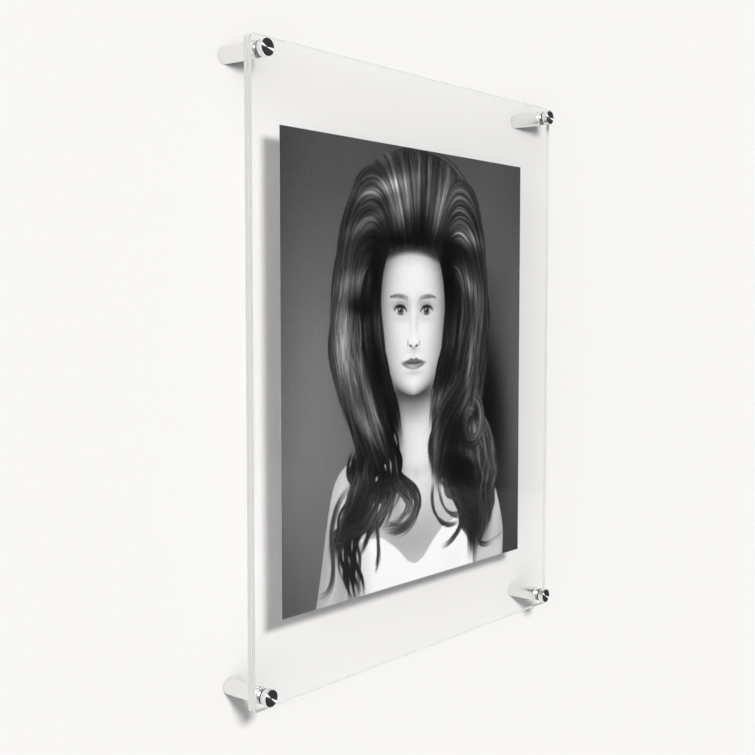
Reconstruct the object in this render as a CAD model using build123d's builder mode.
"""Floating frame: two clear acrylic panels with a print clamped between them, held off a wall by four standoffs.

The wall's surface is the plane Y = 0 and the frame stands in front of it, towards -Y. X points to the
viewer's right and Z up. The origin is the middle of the four standoffs, on the wall's surface.

Each standoff is, from the wall outwards: a plug in the wall, a wood screw, a turned barrel, a thin clear washer,
the back panel, the print's gap, the front panel, a thicker rubber washer, and a screw cap on a threaded stud.
"""

import os

from build123d import *

# Panels and print, in millimetres
panel_width = 508.0
panel_height = 610.0
panel_thickness = 4.5
panel_corner_radius = 3.0
panel_edge_chamfer = 0.3
print_width = 408.0
print_height = 456.0
print_thickness = 0.3
print_shift = -12.2  # the print sits a little left of the panels' middle
print_rise = 1.0

# Standoffs
standoff_inset = 12.5  # from a standoff's axis to the panel's two edges
standoff_radius = 8.0
barrel_length = 37.0
barrel_edge_chamfer = 0.5
rear_washer_thickness = 1.0
front_washer_thickness = 1.6
washer_radius = standoff_radius - 0.3
cap_length = 7.0
cap_edge_chamfer = 0.6
cap_rim_width = 0.9
cap_dish_depth = 1.1

# The thread that pulls the stack together is M10 x 1, drawn as plain cylinders with running clearance
stud_radius = 5.0
stud_tip_chamfer = 0.8
stud_socket_depth = 4.0  # how far the stud is fixed into the cap
thread_clearance = 0.05
thread_engagement = 12.0
tapped_depth = 15.0
panel_hole_radius = 5.5
washer_hole_radius = 5.4

# Wall fixing
barrel_floor = 4.0
chamber_radius = 4.4  # lets the screw's head through to the floor
relief_radius = 5.4
relief_depth = 1.0
screw_radius = 2.1
screw_hole_radius = 2.4
screw_length = 38.0
screw_head_radius = 3.9
screw_head_height = 2.6
screw_tip_length = 5.0
cross_slot_width = 1.1
cross_slot_length = 4.4
cross_slot_depth = 1.5
plug_radius = 4.0
plug_core_radius = 3.3
plug_bore_radius = 2.15
plug_length = 30.0
plug_collar_length = 5.0
plug_flange_radius = 4.9
plug_flange_height = 0.7
plug_barb_count = 5
plug_barb_pitch = 4.0
plug_barb_length = 3.2
plug_tip_length = 2.5
plug_tip_radius = 2.65
plug_split_width = 1.2
plug_split_length = 19.0

# Distances from the wall's surface to the back of each layer
rear_washer_at = barrel_length
back_panel_at = rear_washer_at + rear_washer_thickness
print_at = back_panel_at + panel_thickness
front_panel_at = print_at + print_thickness
front_washer_at = front_panel_at + panel_thickness
cap_at = front_washer_at + front_washer_thickness
stud_back_at = barrel_length - thread_engagement

# The four standoffs' places across the panel, seen from the front
half_span_x = panel_width / 2 - standoff_inset
half_span_z = panel_height / 2 - standoff_inset
corners = {
    "top_left": (-half_span_x, half_span_z),
    "top_right": (half_span_x, half_span_z),
    "bottom_left": (-half_span_x, -half_span_z),
    "bottom_right": (half_span_x, -half_span_z),
}

towards_viewer = (0, -1, 0)
wall = Plane(origin=(0, 0, 0), x_dir=(1, 0, 0), z_dir=towards_viewer)


def wall_plane_at(x, z):
    """The wall's surface under one standoff, facing the viewer."""
    return Plane(origin=(x, 0, z), x_dir=(1, 0, 0), z_dir=towards_viewer)


def section_plane_at(x, z):
    """The plane that halves one standoff: its own x is the radius and its own y the distance from the wall."""
    return Plane(origin=(x, 0, z), x_dir=(1, 0, 0), z_dir=(0, 0, -1))


def axis_at(x, z):
    """One standoff's axis, pointing towards the viewer."""
    return Axis(origin=(x, 0, z), direction=towards_viewer)


def make_panel(distance):
    """A clear sheet with rounded corners, a hole for each stud and its edges broken."""
    with BuildPart() as panel:
        with BuildSketch(wall.offset(distance)):
            RectangleRounded(panel_width, panel_height, panel_corner_radius)
            with Locations(*corners.values()):
                Circle(panel_hole_radius, mode=Mode.SUBTRACT)
        extrude(amount=panel_thickness)
        faces = panel.faces().filter_by(Axis.Y)
        outer_edges = [edge for face in faces for edge in face.outer_wire().edges()]
        chamfer(outer_edges, panel_edge_chamfer)
    return panel


def make_print():
    """The sheet of photographic paper between the panels."""
    with BuildPart() as sheet:
        with BuildSketch(wall.offset(print_at)):
            with Locations((print_shift, print_rise)):
                Rectangle(print_width, print_height)
        extrude(amount=print_thickness)
    return sheet


def make_barrel(x, z):
    """A turned tube: tapped mouth, chamber for the screw's head, pierced floor and a relief for the plug's flange."""
    base = wall_plane_at(x, z)
    with BuildPart() as barrel:
        with BuildSketch(base):
            Circle(standoff_radius)
        extrude(amount=barrel_length)
        chamfer(barrel.edges().filter_by(GeomType.CIRCLE), barrel_edge_chamfer)
        with Locations(base.offset(barrel_length)):
            Hole(stud_radius + thread_clearance, depth=tapped_depth)
            Hole(chamber_radius, depth=barrel_length - barrel_floor)
            Hole(screw_hole_radius)
        with Locations(-base):
            Hole(relief_radius, depth=relief_depth)
    return barrel


def make_washer(x, z, distance, thickness):
    """A thin rubber ring that keeps metal off the acrylic."""
    with BuildPart() as washer:
        with BuildSketch(wall_plane_at(x, z).offset(distance)):
            Circle(washer_radius)
            Circle(washer_hole_radius, mode=Mode.SUBTRACT)
        extrude(amount=thickness)
    return washer


def make_cap(x, z):
    """A turned cap with a shallow conical dish in its face and a blind socket for the stud in its back."""
    back, front = cap_at, cap_at + cap_length
    with BuildPart() as cap:
        with BuildSketch(section_plane_at(x, z)):
            with BuildLine():
                Polyline(
                    (0, back + stud_socket_depth),
                    (stud_radius, back + stud_socket_depth),
                    (stud_radius, back),
                    (standoff_radius - cap_edge_chamfer / 2, back),
                    (standoff_radius, back + cap_edge_chamfer / 2),
                    (standoff_radius, front - cap_edge_chamfer),
                    (standoff_radius - cap_edge_chamfer, front),
                    (standoff_radius - cap_edge_chamfer - cap_rim_width, front),
                    (0, front - cap_dish_depth),
                    close=True,
                )
            make_face()
        revolve(axis=axis_at(x, z))
    return cap


def make_stud(x, z):
    """The threaded stud: fixed in the cap, it runs through both panels and screws into the barrel."""
    with BuildPart() as stud:
        with BuildSketch(wall_plane_at(x, z).offset(stud_back_at)):
            Circle(stud_radius)
        extrude(amount=cap_at + stud_socket_depth - stud_back_at)
        chamfer(stud.edges().sort_by(Axis.Y)[-1], stud_tip_chamfer)
    return stud


def make_screw(x, z):
    """A pan-head wood screw: its head sits on the barrel's floor and its shank goes into the wall."""
    seat, tip = barrel_floor, barrel_floor - screw_length
    with BuildPart() as screw:
        with BuildSketch(section_plane_at(x, z)):
            with BuildLine():
                Polyline(
                    (0, seat + screw_head_height),
                    (0, tip),
                    (screw_radius, tip + screw_tip_length),
                    (screw_radius, seat),
                    (screw_head_radius, seat),
                    (screw_head_radius, seat + screw_head_height / 2),
                )
                TangentArc(
                    (0, seat + screw_head_height),
                    (screw_head_radius, seat + screw_head_height / 2),
                    tangent=(1, 0),
                )
            make_face()
        revolve(axis=axis_at(x, z))
        with BuildSketch(wall_plane_at(x, z).offset(seat + screw_head_height)):
            Rectangle(cross_slot_length, cross_slot_width)
            Rectangle(cross_slot_width, cross_slot_length)
        extrude(amount=-cross_slot_depth, mode=Mode.SUBTRACT)
    return screw


def plug_outline():
    """Half of the plug's section: flange, smooth collar, barbs and tip, as (radius, distance) points."""
    points = [
        (plug_bore_radius, -plug_length),
        (plug_bore_radius, plug_flange_height),
        (plug_flange_radius, plug_flange_height),
        (plug_flange_radius, 0),
        (plug_radius, 0),
        (plug_radius, -plug_collar_length),
    ]
    for barb in range(plug_barb_count):
        mouth_end = -plug_collar_length - barb * plug_barb_pitch
        barb_start = mouth_end - (plug_barb_pitch - plug_barb_length)
        points += [
            (plug_core_radius, mouth_end),
            (plug_core_radius, barb_start),
            (plug_radius, barb_start),
        ]
    points += [
        (plug_core_radius, -plug_length + plug_tip_length),
        (plug_tip_radius, -plug_length),
    ]
    return points


def make_plug(x, z):
    """A ribbed wall plug, split along its far part so that the screw spreads it."""
    base = wall_plane_at(x, z)
    with BuildPart() as plug:
        with BuildSketch(section_plane_at(x, z)):
            with BuildLine():
                Polyline(*plug_outline(), close=True)
            make_face()
        revolve(axis=axis_at(x, z))
        with BuildSketch(base.offset(-plug_length)):
            Rectangle(2 * plug_flange_radius, plug_split_width)
        extrude(amount=plug_split_length, mode=Mode.SUBTRACT)
    return plug


def write(builder, name):
    """Labels a finished piece and writes its STEP file."""
    builder.part.label = name
    export_step(builder.part, f"parts/{name}.step")


os.makedirs("parts", exist_ok=True)

write(make_panel(back_panel_at), "back_panel")
write(make_print(), "art_print")
write(make_panel(front_panel_at), "front_panel")

for corner, (x, z) in corners.items():
    write(make_plug(x, z), f"wall_plug_{corner}")
    write(make_screw(x, z), f"wall_screw_{corner}")
    write(make_barrel(x, z), f"barrel_{corner}")
    write(make_washer(x, z, rear_washer_at, rear_washer_thickness), f"rear_washer_{corner}")
    write(make_washer(x, z, front_washer_at, front_washer_thickness), f"front_washer_{corner}")
    write(make_stud(x, z), f"cap_stud_{corner}")
    write(make_cap(x, z), f"cap_{corner}")
